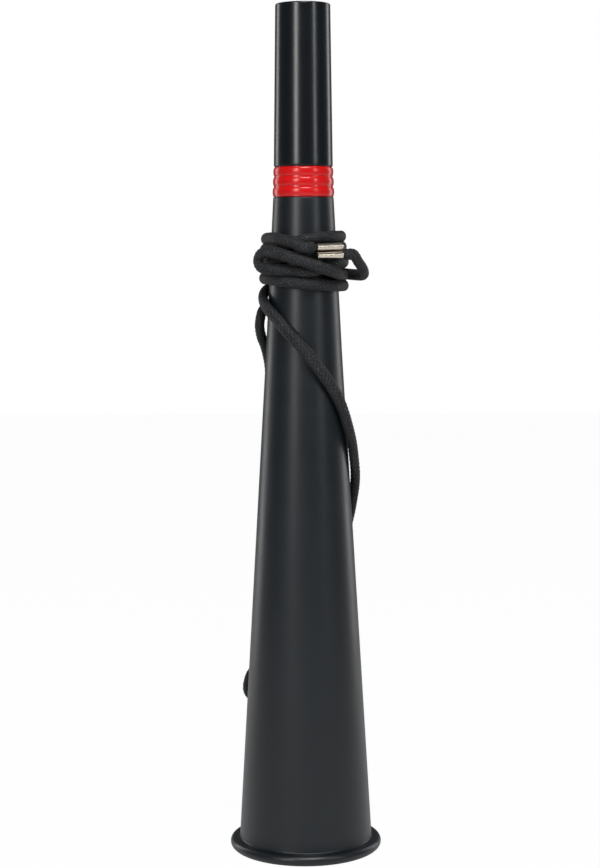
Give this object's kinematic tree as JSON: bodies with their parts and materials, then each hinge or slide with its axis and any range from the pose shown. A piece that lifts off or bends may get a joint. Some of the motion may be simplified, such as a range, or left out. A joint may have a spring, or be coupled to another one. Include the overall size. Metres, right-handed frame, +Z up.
{
  "type": "stadium horn",
  "caption": "Mouth-blown stadium horn: long tapered bell with a bead, ribbed collar, straight mouth tube with a reed inside, and a braided carry cord wound round the neck.",
  "frame": {"origin": "on the horn's axis, at the flat foot of the bell's bead", "axes": "+Z up the horn's axis towards the mouth tube; -Y is the front, where the cord's sleeve shows; +X is the right seen from the front"},
  "size_m": [0.1158, 0.1158, 0.64],
  "materials": {
    "bell_plastic": "satin moulded plastic",
    "tube_plastic": "polished moulded plastic",
    "collar_plastic": "glossy moulded plastic",
    "seal_rubber": "moulded rubber",
    "holder_plastic": "machined acetal",
    "reed_brass": "rolled strip",
    "clamp_steel": "plated",
    "sleeve_nickel": "nickel plated, rolled",
    "cord_braid": "tubular polyester braid"
  },
  "bodies": {
    "bell": {"bell": "bell_plastic", "cord_run": "cord_braid", "cord_wrap_upper": "cord_braid", "cord_wrap_lower": "cord_braid", "crimp_sleeve": "sleeve_nickel"},
    "collar": {"collar": "collar_plastic", "lower_seal": "seal_rubber", "upper_seal": "seal_rubber"},
    "mouth_tube": {"mouth_tube": "tube_plastic"},
    "reed_cartridge": {"reed_holder": "holder_plastic", "reed_clamp": "clamp_steel", "reed_screw_1": "clamp_steel", "reed_screw_2": "clamp_steel"},
    "reed_tongue": {"reed_tongue": "reed_brass"}
  },
  "joints": [
    {"name": "collar_slide", "type": "slide", "parent": "bell", "child": "collar", "axis": [0, 0, 1], "range_m": [0, 0.022]},
    {"name": "tube_slide", "type": "slide", "parent": "collar", "child": "mouth_tube", "axis": [0, 0, 1], "range_m": [0, 0.022]},
    {"name": "cartridge_slide", "type": "slide", "parent": "collar", "child": "reed_cartridge", "axis": [0, 0, 1], "range_m": [0, 0.015]},
    {"name": "tongue_flex", "type": "hinge", "parent": "reed_cartridge", "child": "reed_tongue", "pos_m": [0, -0.00363, 0.5471], "axis": [1, 0, 0], "range_deg": [-2, 1], "stiffness_Nm_per_rad": 0.2}
  ]
}
